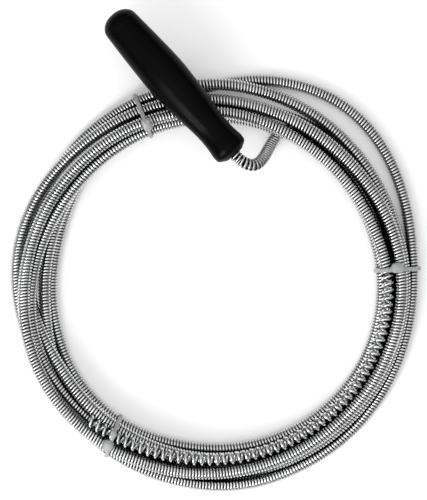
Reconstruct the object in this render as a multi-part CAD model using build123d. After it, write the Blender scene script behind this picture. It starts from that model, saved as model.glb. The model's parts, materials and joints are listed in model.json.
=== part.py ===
from build123d import *
import os
from math import cos, radians, sin, tan

# A hand drain auger, put away: a close-wound steel spring cable lies in a loose
# flat coil held by three cable ties. Its working end is the same wire wound open,
# the auger head. Its other end is cranked up out of the coil and turns inside a
# plastic handle that lies across the coil.
#
# Millimetres. The coil lies on the XY plane and +Z is up. The origin is in the
# middle of the coil's eye, on the surface that the coil lies on. Bearings are in
# degrees, clockwise from +X seen from above, which is the way the cable is wound.

# Cable
CABLE_D = 6.0
CABLE_R = CABLE_D / 2
TURNS = 6.55

# Coil: its bundle of turns is a ring, given by its outermost strands
INNER_STRAND_R = 78.3
OUTER_STRAND_R = 93.6
UPPER_INNER_INSET = 1.0
UPPER_OUTER_INSET = 2.1
LOWER_LAYER_Z = CABLE_R
UPPER_LAYER_Z = 3 * CABLE_R

# A stretch of the top turn lies on the bundle
TOP_TURN_R = 88.6
TOP_TURN_Z = 14.0
TOP_TURN_FROM = 318.0
TOP_TURN_TO = 462.0

# One slack turn stands out of the bundle, from bearing and radius of three points
LOOSE_TURN = [(267.4, 93.5), (307.9, 104.9), (348.7, 94.7)]
LOOSE_TURN_Z = CABLE_R + 0.5

# Auger head, in the top of the bundle inside the top turn
HEAD_R = 81.8
HEAD_Z = 11.0
HEAD_FROM = 356.5
HEAD_TO = 493.5

# Handle, along its own axis from the tip of its dome to its mouth
DOME_TIP = (-47.8, 125.7)
HANDLE_BEARING = 48.8
HANDLE_Z = 22.6
HANDLE_LENGTH = 86.35
CAP_DEPTH = 5.5
CAP_RIM_R = 8.55
CAP_PLUG_END = 10.5
DOME_CURVE = [(0, 0), (4.6, 0.9), (7.3, 3.0)]
DOME_TANGENTS = [(1, 0), (0.15, 1)]
BELLY_CURVE = [(9.0, 12.0), (10.2, 36.3), (9.1, 56.3), (7.7, 70.3), (8.4, 80.3)]
MOUTH_EDGE = (8.1, 83.6)
MOUTH_FACE_R = 3.9
BORE_R = CABLE_R + 0.1
POCKET_R = 6.0
POCKET_DEPTH = 23.0

# What holds the handle on the cable
CABLE_END = 13.8
COLLAR_R = 5.0
COLLAR_LENGTH = 8.0
WASHER_R = 5.7
WASHER_T = 1.0
END_FLOAT = 0.1

# Crank: out of the mouth, over, down to the surface and in under the coil
CRANK_START = 3.8
CRANK_REACH = 13.2
BEND_SETBACK = 7.6
LEG_BEARING = 298.9
LEG_SLOPE = 46.0
FOOT_BEARING = 292.5
FOOT_RUN = 9.5
ARC_SHARE = 0.45

# Cable ties: a strap round the strands, and a head at (radius, height) on it
STRAP_W = 1.9
STRAP_T = 1.0
STRAP_FIT = 0.05
TIE_HEAD_LENGTH = 5.2
TIE_HEAD_WIDTH = 4.2
TIE_HEAD_HEIGHT = 3.6
TIE_HEAD_EDGE = 0.8
TIES = {
    "tie_beside_handle": {"bearing": 247.9, "head": (73.8, 6.0), "lean": 90.0},
    "tie_beside_auger": {"bearing": 355.1, "head": (87.3, 19.0), "lean": 0.0},
    "tie_over_auger": {"bearing": 123.4, "head": (91.2, 14.0), "lean": -18.0},
}


def heading(bearing):
    """The level unit vector that points along a bearing."""
    return Vector(cos(radians(bearing)), -sin(radians(bearing)), 0)


def at(bearing, radius, z):
    """The point at a bearing, a radius from the coil's axis and a height."""
    return heading(bearing) * radius + Vector(0, 0, z)


def tube(path):
    """A solid of the cable's diameter along a path."""
    start = Plane(origin=path @ 0, z_dir=path % 0)
    return sweep(start * Circle(CABLE_R), path=path)


def outline(strands, grow=0.0):
    """The taut outline round the bundle's outermost strands and some more, in (radius, z)."""
    corners = [
        (INNER_STRAND_R, LOWER_LAYER_Z),
        (OUTER_STRAND_R, LOWER_LAYER_Z),
        (OUTER_STRAND_R - UPPER_OUTER_INSET, UPPER_LAYER_Z),
        (INNER_STRAND_R + UPPER_INNER_INSET, UPPER_LAYER_Z),
    ]
    centres = make_hull(Polyline(*corners, *strands, close=True).edges())
    return offset(centres, CABLE_R + grow, kind=Kind.ARC)


def make_bundle():
    """The body of the coil: the bundle's outline turned round the coil's axis."""
    return revolve(Plane.XZ * outline([]), axis=Axis.Z)


def ring_arc(start, end, radius, z):
    """A level arc of cable round the coil's axis between two bearings."""
    return tube(ThreePointArc(*[at(bearing, radius, z) for bearing in (start, (start + end) / 2, end)]))


def make_loose_turn():
    """The slack turn: an arc of cable that leaves the bundle and comes back to it."""
    points = [at(bearing, radius, LOOSE_TURN_Z) for bearing, radius in LOOSE_TURN]
    return tube(ThreePointArc(*points))


def make_auger_head():
    """The auger head's outer shape: an arc of tube."""
    return ring_arc(HEAD_FROM, HEAD_TO, HEAD_R, HEAD_Z)


def raised_strands(bearing):
    """The strands at a bearing that stand out of the bundle: the top turn and the auger head."""
    strands = []
    if TOP_TURN_FROM <= bearing or bearing + 360 <= TOP_TURN_TO:
        strands.append((TOP_TURN_R, TOP_TURN_Z))
    if HEAD_FROM <= bearing or bearing + 360 <= HEAD_TO:
        strands.append((HEAD_R, HEAD_Z))
    return strands


def section_plane(bearing):
    """The upright plane through the coil's axis: x runs outwards and y runs up."""
    return Plane(origin=(0, 0, 0), x_dir=heading(bearing), z_dir=heading(bearing + 90))


def make_tie(bearing, head, lean):
    """One cable tie: its strap, drawn tight round the strands, and the head on the strap."""
    strands = raised_strands(bearing)
    reach = 2 * OUTER_STRAND_R
    above_floor = Pos(OUTER_STRAND_R, reach / 2) * Rectangle(reach, reach)
    above_strap = Pos(0, STRAP_T) * above_floor
    outside = outline(strands, STRAP_FIT + STRAP_T) & above_floor
    inside = outline(strands, STRAP_FIT) & above_strap
    plane = section_plane(bearing)
    strap = extrude(plane * (outside - inside), amount=STRAP_W / 2, both=True)
    block = Box(TIE_HEAD_LENGTH, TIE_HEAD_HEIGHT, TIE_HEAD_WIDTH)
    block = fillet(block.edges().filter_by(Axis.Z), TIE_HEAD_EDGE)
    placed = plane * Pos(*head) * Rot(Z=lean) * block
    held = extrude(plane * outline(strands, STRAP_FIT), amount=TIE_HEAD_WIDTH, both=True)
    return strap + (placed - held)


def make_strap_groove(bearing):
    """The room for a strap across the bottom of the bundle."""
    width = 2 * OUTER_STRAND_R
    groove = Box(width, 2 * STRAP_T, STRAP_W)
    return section_plane(bearing) * Pos(width / 2, 0, 0) * groove


def make_coil():
    """The coil's outer shape: the bundle, the top turn and the slack turn, grooved for the head and straps."""
    coil = make_bundle() + ring_arc(TOP_TURN_FROM, TOP_TURN_TO, TOP_TURN_R, TOP_TURN_Z)
    coil = coil + make_loose_turn() - make_auger_head()
    for tie in TIES.values():
        coil -= make_strap_groove(tie["bearing"])
    return coil


def handle_plane():
    """The handle's own frame: its z axis runs from the dome's tip to the mouth."""
    return Plane(origin=(*DOME_TIP, HANDLE_Z), z_dir=heading(HANDLE_BEARING))


def turned(edges):
    """A closed outline in (radius, distance from the dome's tip), turned on the handle's axis."""
    return handle_plane() * revolve(Plane.XZ * make_face(edges), axis=Axis.Z)


def on_handle_axis(radius, hole, start, length):
    """A plain rod, or a ring with a hole, on the handle's axis."""
    rod = Cylinder(radius, length)
    if hole:
        rod -= Cylinder(hole, length)
    return handle_plane() * Pos(0, 0, start + length / 2) * rod


def make_handle_grip():
    """The moulded grip: full in its middle, waisted before the flared mouth."""
    rim = (CAP_RIM_R, CAP_DEPTH)
    side = Spline([rim, *BELLY_CURVE, MOUTH_EDGE])
    inside = Polyline(
        MOUTH_EDGE,
        (MOUTH_FACE_R, HANDLE_LENGTH),
        (BORE_R, HANDLE_LENGTH),
        (BORE_R, POCKET_DEPTH),
        (POCKET_R, POCKET_DEPTH),
        (POCKET_R, CAP_DEPTH),
        rim,
    )
    return turned(side + inside)


def make_handle_end_cap():
    """The domed cap that closes the grip's pocket, with its plug."""
    rim = (CAP_RIM_R, CAP_DEPTH)
    dome = Spline([*DOME_CURVE, rim], tangents=DOME_TANGENTS)
    inside = Polyline(
        rim,
        (POCKET_R, CAP_DEPTH),
        (POCKET_R, CAP_PLUG_END),
        (0, CAP_PLUG_END),
        (0, 0),
    )
    return turned(dome + inside)


def make_stop_collar():
    """The collar crimped on the cable's end, which keeps the handle on."""
    return on_handle_axis(COLLAR_R, CABLE_R, CABLE_END, COLLAR_LENGTH)


def make_thrust_washer():
    """The washer between the collar and the bottom of the grip's pocket."""
    start = POCKET_DEPTH - END_FLOAT - WASHER_T
    return on_handle_axis(WASHER_R, BORE_R, start, WASHER_T)


def make_cable_shank():
    """The straight stretch of cable inside the handle, which the handle turns on."""
    return on_handle_axis(CABLE_R, None, CABLE_END, HANDLE_LENGTH - CRANK_START - CABLE_END)


def crank_route():
    """The crank's points: from inside the mouth, over the bend, down the leg, into the coil."""
    along = heading(HANDLE_BEARING)
    mouth = Vector(*DOME_TIP, HANDLE_Z) + along * HANDLE_LENGTH
    slope = radians(LEG_SLOPE)
    down = heading(LEG_BEARING) * cos(slope) - Vector(0, 0, sin(slope))
    corner = mouth + along * CRANK_REACH
    foot = corner + down * ((HANDLE_Z - CABLE_R) / sin(slope))
    return [
        mouth - along * CRANK_START,
        corner - along * BEND_SETBACK,
        corner + down * BEND_SETBACK,
        foot,
        foot + heading(FOOT_BEARING) * FOOT_RUN,
    ]


def arc_radii(points):
    """Each corner's radius: as large as its two runs allow."""
    radii = []
    for before, corner, after in zip(points, points[1:], points[2:]):
        one = corner - before
        two = after - corner
        half_turn = radians(one.get_angle(two)) / 2
        radii.append(ARC_SHARE * min(one.length, two.length) / tan(half_turn))
    return radii


def make_crank():
    """The bent stretch of cable between the handle and the coil."""
    points = crank_route()
    radii = arc_radii(points)
    path = FilletPolyline(*points, radius=radii)
    crank = tube(path)
    fill = crank.volume / (path.length * Circle(CABLE_R).area)
    runs = [(after - before).length for before, after in zip(points, points[1:])]
    print("crank runs", [round(run, 1) for run in runs])
    print("crank radii", [round(radius, 1) for radius in radii])
    print("crank length", round(path.length, 1), "volume / (section x length)", round(fill, 3))
    return crank


def make_parts():
    """Every piece of the auger, by name."""
    parts = {
        "cable_coil": make_coil(),
        "auger_head": make_auger_head(),
        "cable_crank": make_crank(),
        "cable_shank": make_cable_shank(),
        "stop_collar": make_stop_collar(),
        "thrust_washer": make_thrust_washer(),
        "handle_grip": make_handle_grip(),
        "handle_end_cap": make_handle_end_cap(),
    }
    for name, tie in TIES.items():
        parts[name] = make_tie(**tie)
    return parts


def main():
    os.makedirs("parts", exist_ok=True)
    for name, shape in make_parts().items():
        export_step(shape, f"parts/{name}.step")
    mean_r = (INNER_STRAND_R + OUTER_STRAND_R) / 2
    print("cable wound in the coil, about", round(radians(360 * TURNS) * mean_r))


main()
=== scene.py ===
import json
import math

import bmesh
import bpy
import numpy as np
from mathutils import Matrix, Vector


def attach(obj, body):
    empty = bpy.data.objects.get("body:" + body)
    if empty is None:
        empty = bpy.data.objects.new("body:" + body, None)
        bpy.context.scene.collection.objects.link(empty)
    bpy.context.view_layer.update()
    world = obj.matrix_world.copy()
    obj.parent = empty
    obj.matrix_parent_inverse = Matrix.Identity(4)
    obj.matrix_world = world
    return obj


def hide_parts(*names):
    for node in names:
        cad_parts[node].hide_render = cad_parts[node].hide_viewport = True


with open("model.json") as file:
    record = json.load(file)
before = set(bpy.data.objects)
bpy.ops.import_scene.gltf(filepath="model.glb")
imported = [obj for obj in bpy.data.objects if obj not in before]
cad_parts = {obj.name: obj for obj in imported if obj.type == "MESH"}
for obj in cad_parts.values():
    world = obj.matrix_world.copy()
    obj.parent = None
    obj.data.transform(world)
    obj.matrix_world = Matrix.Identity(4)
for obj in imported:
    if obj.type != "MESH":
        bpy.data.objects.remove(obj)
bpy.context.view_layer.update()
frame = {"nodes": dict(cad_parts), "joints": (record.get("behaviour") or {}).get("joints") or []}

# The drain auger's looks, in metres, in the frame of the CAD model: the coil lies on
# z = 0 round the origin. Bearings are in degrees, clockwise from +X seen from above.

MM = 0.001

# Cable: spring wire wound close, and wound open along the auger head
CABLE_R = 3.0 * MM
WIRE_R = 0.70 * MM
CLOSE_PITCH = 1.406 * MM
OPEN_PITCH = (3.3 * MM, 3.7 * MM)
HELIX_R = CABLE_R - WIRE_R
PATH_STEP = 3.0 * MM
WINDING_STEP = 0.5 * MM
OPENING_RUN = 2.0 * MM
DIRECTION_REACH = 0.8 * MM
HEAD_ARC_R = 83.0 * MM
AROUND_TURN = 16
AROUND_WIRE = 8
# Painted shade: the wires' colour is darkened on their inner sides between turns and in the close gaps
# between strands
TURN_SHADE_FROM = 0.45
TURN_SHADE_TO = 0.92
STRAND_SHADE_SPREAD = 0.25

# Handle and the cable's end in it, as distances from the dome's tip along the axis
HANDLE_LENGTH = 86.35 * MM
CABLE_END = 13.8 * MM
CRANK_START = 3.8 * MM

# Handle's outlines in mm, as (radius, distance from the dome's tip)
GRIP_CURVE = [
    (8.55, 5.5), (9.0, 12.0), (9.6, 22.0), (10.2, 36.3), (9.75, 47.3), (9.1, 56.3),
    (8.15, 64.3), (7.7, 70.3), (7.85, 76.3), (8.4, 80.8), (8.3, 83.2),
]
MOUTH_CURVE = [
    (8.3, 83.2), (8.0, 84.0), (7.1, 84.8), (5.2, 85.9), (4.2, 86.35), (3.7, 86.2), (3.1, 85.4),
]
DOME_CURVE = [
    (0.0, 0.0), (2.6, 0.25), (4.6, 0.9), (6.2, 1.9), (7.3, 3.0), (8.1, 4.2), (8.5, 5.35),
]
BORE_R = 3.1
POCKET_R = 6.0
POCKET_DEPTH = 23.0
CAP_RIM_R = 8.45
CAP_DEPTH = 5.5
PLUG_END = 10.5

# Crank: the route's corners out of the handle's mouth and down to the surface
CRANK_REACH = 13.2 * MM
BEND_SETBACK = 7.6 * MM
LEG_BEARING = 298.9
LEG_SLOPE = 46.0
UNDER_COIL = [(292.5, 78.0 * MM), (296.8, 84.2 * MM)]

# Coil. The turns are drawn round a centre of their own, a little off the middle of the
# whole coil, and each settles on the strands under it.
TURNS_CENTRE = (-1.0 * MM, 2.0 * MM)
TURN_STEP = 5.0
COIL_START = 302.0
HEAD_START = 2517.0
COIL_END = 2652.0
LAYER_RISE = 0.9
SETTLE_STEPS = 1200
SETTLE_FALL = 0.03 * MM
SETTLE_STIFFNESS = 0.15
PUSHES_A_STEP = 3
SIDEWAYS_SHARE = 0.4
HOLD_SEEN = 0.3
HOLD_HIDDEN = 0.05
HIDDEN_WITHIN = 3.0 * MM
PAST_FOOT = 30
STRAP_SPREAD = 14.0

# The turns' bearing, radius in mm and layer, where they change. Most of these rows came out of
# a program that thinned and scaled readings of the photo in pixels. That is not how a route
# should be written: don't take it as an example.
TURN_KEYS = [
    # first turn: from the crank, lowest and inside, then outwards over the others
    (297, 83.5, 0), (303, 83.4, 0.2), (312, 81.6, 0.7), (330, 81.4, 0.9), (345, 81.6, 1),
    (360, 83.0, 1), (420, 84.0, 1), (450, 83.6, 1), (480, 82.4, 1.0), (505, 82.1, 1.2),
    (518, 83.0, 1.5), (530, 85.0, 1.4), (545, 86.8, 0.7), (582, 90.4, 0.8), (628, 92.6, 1.5),
    # second turn: outermost, then inwards under the others
    (660, 91.1, 1.5), (685, 89.3, 1), (705, 88.6, 1), (720, 89.8, 1), (750, 90.6, 0.8),
    (780, 90.8, 0.4), (815, 91.2, 0), (825, 90.8, 0), (890, 79.7, 0.5), (915, 77.9, 0.5),
    (970, 79.7, 0.25), (1000, 82.5, 0),
    # third turn
    (1029, 86.3, 0), (1050, 87.2, 0), (1080, 86.4, 0), (1110, 86.8, 0), (1170, 86.2, 0),
    (1200, 85.8, 0.8), (1230, 87.5, 2.0), (1240, 87.7, 2.3), (1250, 86.8, 2.4),
    (1285, 79.3, 2.0), (1300, 77.6, 1.4), (1320, 76.7, 1), (1340, 76.9, 1),
    # fourth turn: inside all the way round, then out into the slack bulge
    (1380, 77.4, 0), (1395, 77.9, 0), (1410, 78.2, 0), (1425, 79.2, 0), (1440, 79.8, 0),
    (1480, 81.2, 0), (1500, 80.4, 0), (1540, 78.9, 0), (1560, 79.9, 0), (1575, 80.1, 0),
    (1590, 79.1, 0), (1630, 75.0, 0), (1650, 76.9, 0), (1675, 82.1, 0),
    (1708, 90.8, 0), (1732, 100.4, 0),
    # fifth turn: from the bulge, outside, then up and inwards
    (1749, 104.0, 0), (1760, 102.2, 0), (1790, 94.4, 0),
    (1800, 93.5, 0), (1845, 95.9, 0), (1875, 96.5, 0), (1890, 96.0, 0), (1920, 92.9, 1),
    (1950, 90.4, 1.2), (1960, 90.4, 1.3), (1980, 92.7, 1.8), (1990, 92.9, 2), (2000, 92.1, 2),
    (2030, 87.7, 2), (2080, 84.1, 2),
    # sixth turn: the top one
    (2100, 83.6, 2), (2115, 84.1, 2.2), (2160, 88.6, 2.4),
    (2220, 88.8, 2.4), (2295, 92.2, 2.8), (2310, 91.6, 3), (2385, 82.0, 2.8),
    # the last stretch, whose end is the auger head
    (2460, 77.1, 2.6), (2490, 77.8, 2.8), (2505, 79.3, 2.8), (2520, 82.2, 2.8), (2610, 83.2, 2.8),
    (2640, 84.7, 2.8), (2652, 86.7, 2.8),
]

# Cable ties: each one's bearing, its turn out of the radial plane in degrees, the
# (radius, height) that its head is nearest to, and how far the head sits to one side
TIES = {
    "tie_beside_handle": {
        "bearing": 246.9, "skew": 1.5, "head": (80.5 * MM, 20.0 * MM), "lean": 0.3 * MM,
    },
    "tie_beside_auger": {
        "bearing": 355.1, "skew": 1.8, "head": (85.3 * MM, 22.0 * MM), "lean": -0.9 * MM,
    },
    "tie_over_auger": {
        "bearing": 124.1, "skew": -14.0, "head": (90.4 * MM, 20.0 * MM), "lean": 0.6 * MM,
    },
}
TIE_PIVOT = 85.0 * MM
COIL_EYE_R = 60.0 * MM
STRAP_W = 1.9 * MM
STRAP_T = 0.75 * MM
STRAP_FIT = 0.03 * MM
STRAP_EDGE = 0.25 * MM
STRAP_STEPS = 240
ROUND_STEPS = 48
RIB_DEPTH = 0.12 * MM
HEAD_SIZE = (5.6 * MM, 4.8 * MM, 3.2 * MM)
HEAD_SUNK = 0.45
BASE_DRAWN_IN = 0.06
TAIL_LENGTH = 0.6 * MM
TAIL_IN_HEAD = 0.5 * MM
TAIL_RISE = 1.15

# Camera
CAMERA_HEIGHT = 1.35
VIEW_CENTRE = (-0.8 * MM, 16.5 * MM)
VIEW_SCALE = 0.469 * MM
VIEW_PIXELS = (427, 500)
VIEW_PLANE = 8.0 * MM


def heading(bearing):
    """The level unit vector that points along a bearing."""
    turn = math.radians(bearing)
    return Vector((math.cos(turn), -math.sin(turn), 0.0))


def link(obj):
    """Puts a new object in the scene."""
    bpy.context.scene.collection.objects.link(obj)
    return obj


# ---------------------------------------------------------------- camera


def make_camera():
    """A camera straight above, which frames the object as it lies."""
    data = bpy.data.cameras.new("camera")
    camera = link(bpy.data.objects.new("camera", data))
    camera.location = (*VIEW_CENTRE, CAMERA_HEIGHT)
    data.sensor_fit = "VERTICAL"
    data.sensor_height = 24.0
    field = VIEW_PIXELS[1] * VIEW_SCALE
    data.lens = data.sensor_height * (CAMERA_HEIGHT - VIEW_PLANE) / field
    data.clip_start = 0.05
    data.clip_end = 20.0
    bpy.context.scene.camera = camera


# ---------------------------------------------------------------- the cable's route


def handle_axis():
    """The dome's tip and the direction from it to the mouth, from the handle's joint."""
    joint = frame["joints"][0]
    return Vector(joint["pos_m"]), Vector(joint["axis"]).normalized()


def crank_points():
    """The route from the cable's end in the handle, over the crank and in under the coil."""
    tip, along = handle_axis()
    mouth = tip + along * HANDLE_LENGTH
    corner = mouth + along * CRANK_REACH
    slope = math.radians(LEG_SLOPE)
    down = heading(LEG_BEARING) * math.cos(slope) - Vector((0, 0, math.sin(slope)))
    foot = corner + down * ((corner.z - CABLE_R) / math.sin(slope))
    points = [
        tip + along * CABLE_END,
        tip + along * (CABLE_END + HANDLE_LENGTH) / 2,
        mouth - along * CRANK_START,
        corner - along * BEND_SETBACK,
        corner + down * BEND_SETBACK,
        foot,
    ]
    for bearing, radius in UNDER_COIL:
        points.append(heading(bearing) * radius + Vector((0, 0, CABLE_R)))
    return points


def smoothed(values, passes):
    """The values with each bend in them rounded, their ends kept."""
    values = values.copy()
    for _ in range(passes):
        values[1:-1] = (values[:-2] + 2 * values[1:-1] + values[2:]) / 4
    return values


def surface_height(bearings, x, y, foot):
    """The lowest that a strand's middle can lie: on the surface, a strap or the crank's foot."""
    lowest = np.full(len(bearings), CABLE_R)
    for tie in TIES.values():
        away = (bearings - tie["bearing"] + 180) % 360 - 180
        lowest += STRAP_T * np.exp(-((away / STRAP_SPREAD) ** 2))
    for point in foot:
        flat = (x - point.x) ** 2 + (y - point.y) ** 2
        room = np.sqrt(np.maximum((2 * CABLE_R) ** 2 - flat, 0.0))
        lowest = np.where(room > 0, np.maximum(lowest, point.z + room), lowest)
    return lowest


def handle_underside(x, y):
    """The highest that a strand's middle can lie: under the handle, and without limit beside it."""
    tip, along = handle_axis()
    past = (x - tip.x) * along.x + (y - tip.y) * along.y
    aside = np.abs((y - tip.y) * along.x - (x - tip.x) * along.y)
    outline = np.array(GRIP_CURVE) * MM
    reach = np.interp(past, outline[:, 1], outline[:, 0]) + CABLE_R
    under = (past > 0) & (past < HANDLE_LENGTH) & (aside < reach)
    highest = tip.z - np.sqrt(np.maximum(reach**2 - aside**2, 0.0))
    return np.where(under, np.maximum(highest, CABLE_R), np.inf)


def covered(radii, layer, one_turn):
    """How far each part of the turns lies under another turn: 0 seen, 1 hidden."""
    cover = np.zeros(len(radii))
    for lag in range(one_turn, len(radii), one_turn):
        beside = np.abs(radii[lag:] - radii[:-lag])
        near = np.clip((HIDDEN_WITHIN - beside) / (2 * MM), 0, 1)
        above = 2 * (layer[lag:] - layer[:-lag])
        cover[:-lag] = np.maximum(cover[:-lag], near * np.clip(above, 0, 1))
        cover[lag:] = np.maximum(cover[lag:], near * np.clip(-above, 0, 1))
    return cover


def lay_turns(foot):
    """Lays the turns: each settles on what is under it, a cable's thickness apart, near its keys."""
    keys = np.array(TURN_KEYS, float)
    bearings = np.arange(COIL_START, COIL_END + TURN_STEP / 2, TURN_STEP)
    wanted = smoothed(np.interp(bearings, keys[:, 0], keys[:, 1] * MM), 3)
    layer = smoothed(np.interp(bearings, keys[:, 0], keys[:, 2]), 3)
    radii = wanted.copy()
    heights = CABLE_R + layer * LAYER_RISE * 2 * CABLE_R
    one_turn = int(round(360 / TURN_STEP))
    hold = HOLD_HIDDEN + (HOLD_SEEN - HOLD_HIDDEN) * (1 - covered(wanted, layer, one_turn))
    apart = 2 * CABLE_R
    clear_of_foot = bearings > COIL_START + PAST_FOOT
    turns = np.radians(bearings)
    for _ in range(SETTLE_STEPS):
        heights -= SETTLE_FALL
        radii += hold * (wanted - radii)
        strain = radii - wanted
        radii[1:-1] += SETTLE_STIFFNESS * (strain[:-2] + strain[2:] - 2 * strain[1:-1])
        heights[1:-1] += SETTLE_STIFFNESS * (heights[:-2] + heights[2:] - 2 * heights[1:-1])
        for _ in range(PUSHES_A_STEP):
            for lag in range(one_turn, len(bearings), one_turn):
                out = radii[lag:] - radii[:-lag]
                up = heights[lag:] - heights[:-lag]
                gap = np.maximum(np.hypot(out, up), 1e-9)
                push = np.where(gap < apart, (apart - gap) / gap / 2, 0.0)
                radii[:-lag] -= SIDEWAYS_SHARE * push * out
                heights[:-lag] -= push * up
                radii[lag:] += SIDEWAYS_SHARE * push * out
                heights[lag:] += push * up
            x = radii * np.cos(turns) + TURNS_CENTRE[0]
            y = -radii * np.sin(turns) + TURNS_CENTRE[1]
            free = surface_height(bearings, x, y, [])
            over = surface_height(bearings, x, y, foot)
            heights = np.maximum(heights, np.where(clear_of_foot, over, free))
            heights = np.minimum(heights, handle_underside(x, y))
    return bearings, smoothed(radii, 1), smoothed(heights, 2)


def coil_points(foot):
    """The coil's turns as points of the cable's route."""
    centre = Vector((*TURNS_CENTRE, 0.0))
    points = []
    for bearing, radius, height in zip(*lay_turns(foot)):
        points.append(centre + heading(bearing) * radius + Vector((0, 0, height)))
    return points


def foot_line(crank):
    """Points along the crank's foot, where the turns have to pass over it."""
    line = []
    for start, end in zip(crank[-3:], crank[-2:]):
        for part in np.linspace(0.0, 1.0, 6):
            line.append(start.lerp(end, part))
    return line


def make_route():
    """The cable's centre line from end to end, read back from one NURBS spline."""
    crank = crank_points()
    points = crank + coil_points(foot_line(crank))
    curve = bpy.data.curves.new("route", "CURVE")
    curve.dimensions = "3D"
    spline = curve.splines.new("NURBS")
    spline.points.add(len(points) - 1)
    for spot, point in zip(spline.points, points):
        spot.co = (*point, 1.0)
    spline.order_u = 3
    spline.use_endpoint_u = True
    spline.resolution_u = 10
    holder = link(bpy.data.objects.new("route", curve))
    mesh = bpy.data.meshes.new_from_object(holder)
    line = np.empty(len(mesh.vertices) * 3)
    mesh.vertices.foreach_get("co", line)
    bpy.data.objects.remove(holder)
    return line.reshape(-1, 3)


class Route:
    """A centre line with its lengths, and the places along it that pieces start and end at."""

    def __init__(self, line):
        steps = np.linalg.norm(np.diff(line, axis=0), axis=1)
        keep = np.concatenate([[True], steps > 1e-7])
        line = line[keep]
        steps = np.linalg.norm(np.diff(line, axis=0), axis=1)
        self.line = line
        self.lengths = np.concatenate([[0.0], np.cumsum(steps)])
        self.whole = self.lengths[-1]

    def at(self, lengths):
        """The points at these lengths along the line."""
        return np.stack([np.interp(lengths, self.lengths, self.line[:, k]) for k in range(3)], axis=1)

    def nearest(self, point):
        """The length at which the line passes nearest to a point."""
        away = np.linalg.norm(self.line - np.array(point), axis=1)
        return self.lengths[int(away.argmin())]


# ---------------------------------------------------------------- meshes


def mesh_object(name, vertices, faces, smooth=True):
    """A new mesh object."""
    mesh = bpy.data.meshes.new(name)
    mesh.from_pydata([tuple(v) for v in vertices], [], [tuple(f) for f in faces])
    mesh.validate()
    mesh.polygons.foreach_set("use_smooth", [smooth] * len(mesh.polygons))
    return link(bpy.data.objects.new(name, mesh))


def unit(vectors):
    """Each row made one long."""
    return vectors / np.linalg.norm(vectors, axis=1, keepdims=True)


def tube_mesh(name, rings, loop_lengths):
    """A closed tube from rings of points, (rings, around, 3), with a cap at each end and a UV map."""
    count, around = rings.shape[:2]
    vertices = rings.reshape(-1, 3)
    low = np.arange(count - 1)[:, None] * around + np.arange(around)[None, :]
    high = np.arange(count - 1)[:, None] * around + (np.arange(around)[None, :] + 1) % around
    quads = np.stack([low, high, high + around, low + around], axis=2).reshape(-1, 4)
    mesh = bpy.data.meshes.new(name)
    mesh.vertices.add(len(vertices))
    mesh.vertices.foreach_set("co", vertices.ravel())
    first_cap = np.arange(around)[::-1]
    last_cap = (count - 1) * around + np.arange(around)
    loops = np.concatenate([quads.ravel(), first_cap, last_cap])
    mesh.loops.add(len(loops))
    mesh.loops.foreach_set("vertex_index", loops)
    starts = np.concatenate([np.arange(len(quads)) * 4, [len(quads) * 4, len(quads) * 4 + around]])
    mesh.polygons.add(len(quads) + 2)
    mesh.polygons.foreach_set("loop_start", starts)
    mesh.polygons.foreach_set("use_smooth", np.ones(len(quads) + 2, bool))
    along = np.repeat(loop_lengths[:-1], around)
    along_next = np.repeat(loop_lengths[1:], around)
    side = np.tile(np.arange(around) / around, count - 1)
    side_next = side + 1 / around
    uv = np.stack(
        [
            np.stack([along, side], axis=1),
            np.stack([along, side_next], axis=1),
            np.stack([along_next, side_next], axis=1),
            np.stack([along_next, side], axis=1),
        ],
        axis=1,
    ).reshape(-1, 2)
    uv = np.concatenate([uv, np.zeros((2 * around, 2))])
    layer = mesh.uv_layers.new(name="along_wire")
    layer.data.foreach_set("uv", uv.ravel())
    mesh.update()
    mesh.validate()
    return link(bpy.data.objects.new(name, mesh))


def open_share(lengths, head_start):
    """How far the winding has opened at each length: 0 on the cable, 1 on the auger head."""
    share = (lengths - head_start) / OPENING_RUN + 0.5
    return np.clip(share, 0.0, 1.0)


def winding(route, head_start):
    """The turns wound by each length of the route: the wires touch on the inside of a bend."""
    lengths = np.arange(0.0, route.whole, WINDING_STEP)
    line = route.at(lengths)
    direction = unit(np.gradient(line, axis=0))
    bend = np.linalg.norm(np.gradient(direction, axis=0), axis=1) / WINDING_STEP
    bend = smoothed(bend, 12)
    close = CLOSE_PITCH * (1 + CABLE_R * bend)
    along_head = np.clip((lengths - head_start) / (route.whole - head_start), 0.0, 1.0)
    wide = OPEN_PITCH[0] + (OPEN_PITCH[1] - OPEN_PITCH[0]) * along_head
    pitch = close + (wide - close) * open_share(lengths, head_start)
    turns = np.concatenate([[0.0], np.cumsum(WINDING_STEP / pitch[:-1])])
    return lengths, turns


def wound_wire(name, route, wound, start, end):
    """The wire of one stretch of the cable, as a right-handed helix round the route."""
    lengths, turns = wound
    first, last = np.interp([start, end], lengths, turns)
    steps = int((last - first) * AROUND_TURN)
    phase = np.linspace(first, last, steps + 1)
    place = np.interp(phase, turns, lengths)
    centre = route.at(place)
    ahead = route.at(np.minimum(place + DIRECTION_REACH, route.whole))
    behind = route.at(np.maximum(place - DIRECTION_REACH, 0.0))
    direction = unit(ahead - behind)
    up = np.array([0.0, 0.0, 1.0]) - direction * direction[:, 2:3]
    up = unit(up)
    side = np.cross(direction, up)
    angle = 2 * np.pi * phase[:, None]
    outward = np.cos(angle) * up + np.sin(angle) * side
    middle = centre + HELIX_R * outward
    run = unit(np.gradient(middle, axis=0))
    outward = unit(outward - run * np.sum(outward * run, axis=1, keepdims=True))
    across = np.cross(run, outward)
    section = 2 * np.pi * np.arange(AROUND_WIRE) / AROUND_WIRE
    rings = (
        middle[:, None, :]
        + WIRE_R * np.cos(section)[None, :, None] * outward[:, None, :]
        + WIRE_R * np.sin(section)[None, :, None] * across[:, None, :]
    )
    return tube_mesh(name, rings, phase)


# ---------------------------------------------------------------- materials


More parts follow.
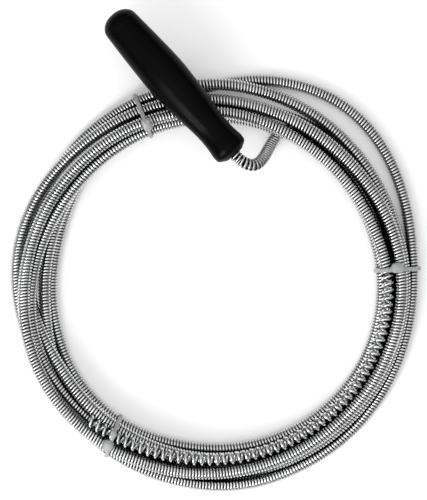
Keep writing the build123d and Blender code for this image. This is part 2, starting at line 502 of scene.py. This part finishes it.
class Paint:
    """A node material under construction."""

    def __init__(self, name):
        self.material = bpy.data.materials.new(name)
        self.material.use_nodes = True
        self.nodes = self.material.node_tree.nodes
        self.links = self.material.node_tree.links
        self.shader = self.nodes["Principled BSDF"]
        self.place = self.nodes.new("ShaderNodeTexCoord").outputs["Object"]

    def set(self, **values):
        """Sets the shader's plain values; an underscore stands for a space."""
        for name, value in values.items():
            self.shader.inputs[name.replace("_", " ")].default_value = value

    def noise(self, scale, detail=4.0, source=None, roughness=0.5):
        """A noise value; scale is in features per metre."""
        node = self.nodes.new("ShaderNodeTexNoise")
        node.inputs["Scale"].default_value = scale
        node.inputs["Detail"].default_value = detail
        node.inputs["Roughness"].default_value = roughness
        self.links.new(source or self.place, node.inputs["Vector"])
        return node.outputs["Fac"]

    def stretched(self, factors, source=None):
        """The place, stretched by a factor along each axis."""
        node = self.nodes.new("ShaderNodeMapping")
        node.inputs["Scale"].default_value = factors
        self.links.new(source or self.place, node.inputs["Vector"])
        return node.outputs["Vector"]

    def ramp(self, value, stops):
        """A colour for each value, from (position, colour) stops."""
        node = self.nodes.new("ShaderNodeValToRGB")
        elements = node.color_ramp.elements
        while len(elements) < len(stops):
            elements.new(0.5)
        for element, (position, colour) in zip(elements, stops):
            element.position = position
            element.color = (*colour, 1.0)
        self.links.new(value, node.inputs["Fac"])
        return node.outputs["Color"]

    def spread(self, value, low, high, low_in=0.3, high_in=0.7):
        """A value from one range mapped to another."""
        node = self.nodes.new("ShaderNodeMapRange")
        node.inputs["From Min"].default_value = low_in
        node.inputs["From Max"].default_value = high_in
        node.inputs["To Min"].default_value = low
        node.inputs["To Max"].default_value = high
        self.links.new(value, node.inputs["Value"])
        return node.outputs["Result"]

    def mixed(self, share, one, other):
        """Two colours mixed by a share."""
        node = self.nodes.new("ShaderNodeMix")
        node.data_type = "RGBA"
        self.links.new(share, node.inputs[0])
        self.links.new(one, node.inputs[6])
        self.links.new(other, node.inputs[7])
        return node.outputs[2]

    def uv(self, name):
        """The mesh's own UV map."""
        node = self.nodes.new("ShaderNodeUVMap")
        node.uv_map = name
        return node.outputs["UV"]

    def separate(self, vector, axis):
        """One of a vector's three values."""
        node = self.nodes.new("ShaderNodeSeparateXYZ")
        self.links.new(vector, node.inputs["Vector"])
        return node.outputs[axis]

    def maths(self, operation, one, other=None):
        """A sum on one value, or on a value and a second value or number."""
        node = self.nodes.new("ShaderNodeMath")
        node.operation = operation
        self.links.new(one, node.inputs[0])
        if isinstance(other, (int, float)):
            node.inputs[1].default_value = other
        elif other is not None:
            self.links.new(other, node.inputs[1])
        return node.outputs["Value"]

    def openness(self, reach):
        """How open the surface is: 1 on a free face, near 0 in a narrow gap."""
        node = self.nodes.new("ShaderNodeAmbientOcclusion")
        node.samples = 8
        node.inputs["Distance"].default_value = reach
        return node.outputs["AO"]

    def bump(self, value, height, strength=1.0):
        """Raises the surface by a value times a height in metres."""
        node = self.nodes.new("ShaderNodeBump")
        node.inputs["Strength"].default_value = strength
        node.inputs["Distance"].default_value = height
        self.links.new(value, node.inputs["Height"])
        self.links.new(node.outputs["Normal"], self.shader.inputs["Normal"])

    def drive(self, name, value):
        """Drives one of the shader's inputs from a node."""
        self.links.new(value, self.shader.inputs[name])


def spring_steel(name, turn_gap_shade, unshaded_from):
    """Bright plated spring wire, with painted shade on the inner sides of its wires between turns
    and in the narrow gaps between strands.

    The second argument is how dark the painted shade between turns is, from 0 to 1. The third
    is how open a place has to be, from 0 to 1, before it is free of the painted shade between
    strands.
    """
    paint = Paint(name)
    paint.set(Metallic=1.0)
    patches = paint.noise(60.0, 3.0)
    bright = paint.ramp(patches, [(0.3, (0.62, 0.625, 0.63)), (0.7, (0.80, 0.805, 0.81))])
    # Painted shade: the near-black colour that is laid into the gaps where shade falls
    shade_colour = paint.ramp(patches, [(0.3, (0.006, 0.006, 0.006)), (0.7, (0.02, 0.0195, 0.019))])
    # Painted shade between turns: each wire is darkened on the side that faces into the cable, with
    # noise at the edge of the dark
    round_wire = paint.separate(paint.uv("along_wire"), 1)
    outward = paint.maths("COSINE", paint.maths("MULTIPLY", round_wire, 2 * math.pi))
    shade_edge_noise = paint.noise(2500.0, 3.0)
    unshaded_side = paint.maths("ADD", outward, paint.spread(shade_edge_noise, -0.15, 0.15))
    turn_gap_shading = paint.spread(unshaded_side, 1.0 - turn_gap_shade, 1.0, TURN_SHADE_FROM, TURN_SHADE_TO)
    # Painted shade between strands: ambient occlusion darkens the colour where strands lie close
    # together
    open_here = paint.openness(2 * CABLE_R)
    strand_gap_shading = paint.spread(open_here, 0.0, 1.0, unshaded_from - STRAND_SHADE_SPREAD, unshaded_from)
    share = paint.maths("MULTIPLY", turn_gap_shading, strand_gap_shading)
    paint.drive("Base Color", paint.mixed(share, shade_colour, bright))
    marks = paint.noise(3.0, 3.0, paint.stretched((1.0, 14.0, 1.0), paint.uv("along_wire")))
    paint.drive("Roughness", paint.spread(marks, 0.12, 0.26))
    paint.bump(marks, 0.01 * MM, 0.5)
    return paint.material


def black_plastic():
    """Glossy black moulded plastic with the faint unevenness of the mould and light wear."""
    paint = Paint("handle_plastic")
    paint.set(IOR=1.45, Specular_IOR_Level=0.05)
    cloud = paint.noise(140.0, 4.0)
    black = paint.ramp(cloud, [(0.3, (0.0008, 0.0008, 0.0009)), (0.7, (0.0016, 0.0016, 0.0017))])
    paint.drive("Base Color", black)
    rubbed = paint.noise(900.0, 5.0, roughness=0.65)
    paint.drive("Roughness", paint.spread(rubbed, 0.20, 0.34))
    paint.bump(paint.noise(700.0, 3.0), 0.02 * MM, 0.35)
    return paint.material


def tie_nylon():
    """Natural nylon: milky, half clear and softly glossy."""
    paint = Paint("tie_nylon")
    paint.set(
        Transmission_Weight=0.35,
        IOR=1.5,
        Subsurface_Weight=0.4,
        Subsurface_Scale=1.5 * MM,
    )
    paint.shader.inputs["Subsurface Radius"].default_value = (1.0, 1.0, 1.0)
    cloud = paint.noise(500.0, 4.0)
    paint.drive("Base Color", paint.ramp(cloud, [(0.3, (0.50, 0.51, 0.51)), (0.7, (0.60, 0.61, 0.60))]))
    paint.drive("Roughness", paint.spread(cloud, 0.25, 0.42))
    paint.bump(paint.noise(1500.0, 3.0), 0.01 * MM, 0.4)
    return paint.material


def collar_steel():
    """Plain turned steel."""
    paint = Paint("collar_steel")
    paint.set(Metallic=1.0)
    rings = paint.noise(900.0, 4.0)
    paint.drive("Base Color", paint.ramp(rings, [(0.3, (0.42, 0.42, 0.43)), (0.7, (0.60, 0.60, 0.61))]))
    paint.drive("Roughness", paint.spread(rings, 0.28, 0.5))
    paint.bump(rings, 0.02 * MM, 0.3)
    return paint.material


def floor_paint():
    """A pale, matt studio floor, which glows a little."""
    paint = Paint("floor")
    paint.set(Roughness=0.9, Emission_Color=(1.0, 1.0, 1.0, 1.0), Emission_Strength=0.18)
    cloud = paint.noise(8.0, 2.0)
    paint.drive("Base Color", paint.ramp(cloud, [(0.3, (0.93, 0.93, 0.93)), (0.7, (0.95, 0.95, 0.95))]))
    return paint.material


# ---------------------------------------------------------------- handle


def curve_through(points, steps):
    """A smooth Catmull-Rom curve through (radius, distance) points."""
    p = np.array(points, float)
    p = np.vstack([2 * p[0] - p[1], p, 2 * p[-1] - p[-2]])
    t = np.linspace(0.0, 1.0, steps, endpoint=False)[:, None]
    spans = []
    for a, b, c, d in zip(p, p[1:], p[2:], p[3:]):
        squared = 2 * a - 5 * b + 4 * c - d
        cubed = 3 * b - a - 3 * c + d
        spans.append(0.5 * (2 * b + (c - a) * t + squared * t**2 + cubed * t**3))
    return np.vstack([*spans, p[-2:-1]])


def lathed(name, profile, segments=96):
    """A closed profile of (radius, distance) in mm, turned on the handle's axis."""
    tip, along = handle_axis()
    up = Vector((0, 0, 1))
    side = along.cross(up)
    vertices = []
    rows = []
    for radius, distance in profile:
        centre = tip + along * distance * MM
        if radius < 1e-6:
            rows.append([len(vertices)])
            vertices.append(centre)
            continue
        rows.append(list(range(len(vertices), len(vertices) + segments)))
        for k in range(segments):
            turn = 2 * math.pi * k / segments
            vertices.append(centre + (up * math.cos(turn) + side * math.sin(turn)) * radius * MM)
    faces = []
    for near, far in zip(rows, rows[1:] + rows[:1]):
        for k in range(segments):
            m = (k + 1) % segments
            corners = [near[k % len(near)], near[m % len(near)], far[m % len(far)], far[k % len(far)]]
            face = list(dict.fromkeys(corners))
            if len(face) > 2:
                faces.append(face)
    obj = mesh_object(name, vertices, faces)
    tidy = bmesh.new()
    tidy.from_mesh(obj.data)
    bmesh.ops.recalc_face_normals(tidy, faces=tidy.faces)
    tidy.to_mesh(obj.data)
    tidy.free()
    return obj


def make_handle(plastic):
    """The grip and its end cap."""
    grip = np.vstack(
        [
            curve_through(GRIP_CURVE, 8),
            curve_through(MOUTH_CURVE, 5)[1:],
            [(BORE_R, POCKET_DEPTH), (POCKET_R, POCKET_DEPTH), (POCKET_R, CAP_DEPTH)],
        ]
    )
    cap = np.vstack(
        [
            curve_through(DOME_CURVE, 6),
            [(CAP_RIM_R, CAP_DEPTH), (POCKET_R, CAP_DEPTH), (POCKET_R, PLUG_END), (0.0, PLUG_END)],
        ]
    )
    for name, profile in (("handle_grip_moulding", grip), ("handle_end_cap_moulding", cap)):
        piece = lathed(name, profile)
        piece.data.materials.append(plastic)
        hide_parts(name.replace("_moulding", ""))
        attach(piece, "handle")


# ---------------------------------------------------------------- ties


def tie_plane(tie):
    """The upright plane that a tie lies in: its start and its level direction outwards."""
    out = heading(tie["bearing"] + tie["skew"])
    start = (heading(tie["bearing"]) - out) * TIE_PIVOT
    return np.array(start), np.array(out)


def strands_at(route, tie):
    """Where the cable crosses a tie's plane, as (distance outwards, height)."""
    start, out = tie_plane(tie)
    line = route.line - start
    ahead = np.array([out[1], -out[0]])
    past = line[:, :2] @ ahead
    reach = line[:, :2] @ out[:2]
    cross = np.nonzero((past[:-1] * past[1:] <= 0) & (reach[:-1] > COIL_EYE_R))[0]
    return [(reach[k], line[k, 2]) for k in cross]


def hull(points):
    """The convex hull of flat points, counter-clockwise."""
    points = sorted(set(map(tuple, points)))

    def half(ordered):
        chain = []
        for p in ordered:
            while len(chain) > 1:
                a, b = chain[-2], chain[-1]
                if (b[0] - a[0]) * (p[1] - a[1]) - (b[1] - a[1]) * (p[0] - a[0]) > 0:
                    break
                chain.pop()
            chain.append(p)
        return chain[:-1]

    return np.array(half(points) + half(points[::-1]))


def strap_line(route, tie):
    """The middle of a strap drawn tight round the strands, evenly spaced."""
    around = CABLE_R + STRAP_FIT + STRAP_T / 2
    circles = []
    for radius, height in strands_at(route, tie):
        for k in range(ROUND_STEPS):
            turn = 2 * math.pi * k / ROUND_STEPS
            circles.append((radius + around * math.cos(turn), height + around * math.sin(turn)))
    loop = hull(circles)
    loop[:, 1] = np.maximum(loop[:, 1], STRAP_T / 2)
    closed = np.vstack([loop, loop[:1]])
    lengths = np.concatenate([[0.0], np.cumsum(np.linalg.norm(np.diff(closed, axis=0), axis=1))])
    even = np.linspace(0.0, lengths[-1], STRAP_STEPS, endpoint=False)
    return np.stack([np.interp(even, lengths, closed[:, k]) for k in range(2)], axis=1)


def make_strap(name, route, tie):
    """A strap's closed loop, with shallow grooves across its outer face."""
    line = strap_line(route, tie)
    count = len(line)
    start, out = tie_plane(tie)
    up = np.array([0.0, 0.0, 1.0])
    across = np.cross(out, up)
    run = np.roll(line, -1, axis=0) - np.roll(line, 1, axis=0)
    run /= np.linalg.norm(run, axis=1, keepdims=True)
    normal = np.stack([run[:, 1], -run[:, 0]], axis=1)
    half_w, half_t = STRAP_W / 2, STRAP_T / 2
    edge = STRAP_EDGE
    section = [
        (half_w, -half_t + edge), (half_w, half_t - edge), (half_w - edge, half_t),
        (0.0, half_t), (-half_w + edge, half_t), (-half_w, half_t - edge),
        (-half_w, -half_t + edge), (-half_w + edge, -half_t), (0.0, -half_t),
        (half_w - edge, -half_t),
    ]
    outer_middle = section.index((0.0, half_t))
    vertices = []
    for k in range(count):
        centre = start + out * line[k, 0] + up * line[k, 1]
        away = out * normal[k, 0] + up * normal[k, 1]
        for j, (w, t) in enumerate(section):
            lower = RIB_DEPTH if j == outer_middle and k % 4 < 2 else 0.0
            vertices.append(centre + across * w + away * (t - lower))
    m = len(section)
    faces = []
    for k in range(count):
        for j in range(m):
            a, b = k * m + j, k * m + (j + 1) % m
            c, d = ((k + 1) % count) * m + (j + 1) % m, ((k + 1) % count) * m + j
            faces.append((a, b, c, d))
    return mesh_object(name, vertices, faces)


def rounded_block(centre, axes, size, power, rings, around):
    """A block with rounded sides and a domed top, which is flatter the higher the power.

    centre is the middle of its base, and axes are its three directions.
    """
    run, across, away = axes
    vertices = []
    for k in range(rings + 1):
        rise = k / rings
        drawn_in = BASE_DRAWN_IN if k == 0 else 0.0
        shrink = (1 - rise**power) ** (1 / power) * (1 - drawn_in)
        for j in range(around):
            turn = 2 * math.pi * (j + 0.5) / around
            c, d = math.cos(turn), math.sin(turn)
            reach = (abs(c) ** 4 + abs(d) ** 4) ** (-0.25)
            u = size[0] / 2 * shrink * reach * c
            v = size[1] / 2 * shrink * reach * d
            vertices.append(centre + run * u + across * v + away * (size[2] * rise))
    faces = [tuple(range(around))[::-1]]
    for k in range(rings):
        for j in range(around):
            a, b = k * around + j, k * around + (j + 1) % around
            faces.append((a, b, b + around, a + around))
    return vertices, faces


def make_tie_head(name, route, tie):
    """A tie's locking head on the outside of its strap, with the cut end of the tail."""
    line = strap_line(route, tie)
    k = int(np.linalg.norm(line - np.array(tie["head"]), axis=1).argmin())
    run = line[(k + 4) % len(line)] - line[k - 4]
    run /= np.linalg.norm(run)
    start, out = tie_plane(tie)
    up = np.array([0.0, 0.0, 1.0])
    along = out * run[0] + up * run[1]
    away = out * run[1] - up * run[0]
    across = np.cross(out, up)
    base = start + out * line[k, 0] + up * line[k, 1]
    base = base - away * STRAP_T * HEAD_SUNK + across * tie["lean"]
    vertices, faces = rounded_block(base, (along, across, away), HEAD_SIZE, 3.2, 10, 32)
    tail_middle = HEAD_SIZE[0] / 2 + TAIL_LENGTH / 2 - TAIL_IN_HEAD
    tail_base = base + along * tail_middle + away * STRAP_T * TAIL_RISE
    tail_size = (TAIL_LENGTH + 2 * TAIL_IN_HEAD, STRAP_W, STRAP_T)
    more, more_faces = rounded_block(tail_base, (along, across, away), tail_size, 8.0, 6, 20)
    first = len(vertices)
    vertices += more
    faces += [tuple(first + i for i in face) for face in more_faces]
    return mesh_object(name, vertices, faces)


def make_ties(route, nylon):
    """The three ties: a strap and a locking head each."""
    pieces = []
    for name, tie in TIES.items():
        strap = make_strap(name + "_strap", route, tie)
        head = make_tie_head(name + "_head", route, tie)
        for piece in (strap, head):
            piece.data.materials.append(nylon)
            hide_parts(name)
            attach(piece, "cable")
        pieces += [strap, head]
    return pieces


# ---------------------------------------------------------------- stage


def make_floor():
    """A plain pale floor."""
    size = 3.0
    corners = [(-size, -size, 0), (size, -size, 0), (size, size, 0), (-size, size, 0)]
    floor = mesh_object("floor", corners, [(0, 1, 2, 3)], smooth=False)
    floor.location.z = -0.0001
    floor.data.materials.append(floor_paint())


def make_area_light(name, place, aim, size, power):
    """A soft light of a width and a height that points at a place."""
    data = bpy.data.lights.new(name, "AREA")
    data.shape = "RECTANGLE"
    data.size, data.size_y = size
    data.energy = power
    light = link(bpy.data.objects.new(name, data))
    light.location = place
    light.rotation_euler = (Vector(aim) - Vector(place)).to_track_quat("-Z", "Y").to_euler()


def make_light():
    """Soft studio light: a bright dome, a bank above and an upright strip at the lower left."""
    world = bpy.data.worlds.new("studio")
    bpy.context.scene.world = world
    world.use_nodes = True
    nodes = world.node_tree.nodes
    links = world.node_tree.links
    place = nodes.new("ShaderNodeTexCoord").outputs["Generated"]
    split = nodes.new("ShaderNodeSeparateXYZ")
    links.new(place, split.inputs["Vector"])
    ramp = nodes.new("ShaderNodeValToRGB")
    links.new(split.outputs["Z"], ramp.inputs["Fac"])
    ramp.color_ramp.elements[0].position = 0.12
    ramp.color_ramp.elements[0].color = (0.04, 0.04, 0.04, 1.0)
    ramp.color_ramp.elements[1].position = 0.75
    ramp.color_ramp.elements[1].color = (1.0, 1.0, 1.0, 1.0)
    links.new(ramp.outputs["Color"], nodes["Background"].inputs["Color"])
    nodes["Background"].inputs["Strength"].default_value = 0.94
    make_area_light("bank", (0.0, -0.2, 1.7), (0, 0, 0), (1.1, 1.1), 2.0)
    make_area_light("strip", (-0.70, -0.86, 0.72), (0, 0, 0), (0.34, 1.1), 11.0)
    bpy.context.scene.view_settings.view_transform = "Standard"


# ---------------------------------------------------------------- the object


def make_cable(route, steel, open_steel):
    """The cable's wire in three stretches: in the handle, the free cable, and the auger head."""
    tip, along = handle_axis()
    mouth = tip + along * HANDLE_LENGTH
    leaves = route.nearest(mouth - along * CRANK_START)
    head_start = route.whole - math.radians(COIL_END - HEAD_START) * HEAD_ARC_R
    wound = winding(route, head_start)
    shank = wound_wire("cable_shank_wire", route, wound, 0.0, leaves)
    cable = wound_wire("cable_wire", route, wound, leaves, head_start)
    head = wound_wire("auger_head_wire", route, wound, head_start, route.whole - WINDING_STEP)
    for piece, finish, nodes in (
        (shank, steel, ["cable_shank"]),
        (cable, steel, ["cable_coil", "cable_crank"]),
        (head, open_steel, ["auger_head"]),
    ):
        piece.data.materials.append(finish)
        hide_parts(*nodes)
        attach(piece, "cable")
    return cable, [head, shank], (leaves, head_start)


def paint_carried_over(steel):
    """The small pieces inside the handle keep their CAD shape."""
    pieces = [frame["nodes"][name] for name in ("stop_collar", "thrust_washer")]
    for node in pieces:
        node.data.materials.clear()
        node.data.materials.append(steel)
    return pieces


def declare_cord(route, stretch):
    """Works out points along the free cable, from where it leaves the handle to the auger head's start;
    nothing is done with them.
    """
    leaves, head_start = stretch
    length = head_start - leaves
    path = route.at(np.linspace(leaves, head_start, int(length / PATH_STEP)))


def main():
    make_camera()
    route = Route(make_route())
    # Both steels carry painted shade in their gaps; the open head's is faint
    close_steel = spring_steel("spring_steel", 1.0, 0.56)
    open_steel = spring_steel("spring_steel_open", 0.1, 0.25)
    cable, on_cable, stretch = make_cable(route, close_steel, open_steel)
    make_handle(black_plastic())
    on_cable += make_ties(route, tie_nylon())
    on_cable += paint_carried_over(collar_steel())
    declare_cord(route, stretch)
    make_floor()
    make_light()


main()
